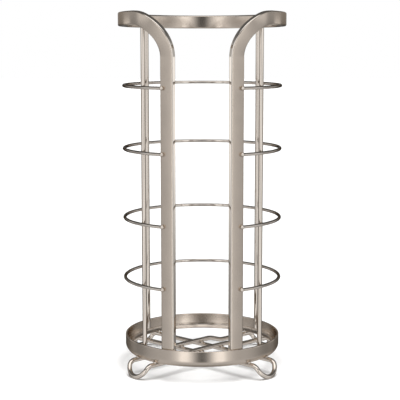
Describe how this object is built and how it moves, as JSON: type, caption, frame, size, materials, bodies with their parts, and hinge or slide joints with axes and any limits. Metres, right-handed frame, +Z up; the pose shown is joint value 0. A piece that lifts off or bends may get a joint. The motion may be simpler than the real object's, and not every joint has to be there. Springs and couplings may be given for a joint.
{
  "type": "toilet roll storage holder",
  "caption": "Free-standing metal cage that stacks toilet rolls between two legs and round guard rings, under a hoop-shaped carrying handle.",
  "frame": {"origin": "on the floor plane, at the middle of the footprint of the whole holder", "axes": "+Z up; the open front, between the two legs, faces -Y; +X is on the right when seen from the front. The axis of the cage stands at y = -2.55 mm."},
  "size_m": [0.172, 0.1668, 0.3684],
  "materials": {
    "flat_bar": "satin nickel plate",
    "band": "satin nickel plate",
    "wire": "satin nickel plate, drawn wire",
    "weld": "plated weld metal"
  },
  "bodies": {
    "root": {"handle_frame": "flat_bar", "base_band": "band", "guard_ring_1": "wire", "guard_ring_2": "wire", "guard_ring_3": "wire", "guard_ring_4": "wire", "rod_front_left": "wire", "rod_front_right": "wire", "rod_rear_left": "wire", "rod_rear_right": "wire", "base_wire_lower": "wire", "base_wire_upper": "wire", "ring_end_beads": "weld", "ring_spot_welds": "weld", "leg_welds": "weld", "rod_welds": "weld", "base_wire_welds": "weld"}
  },
  "joints": []
}
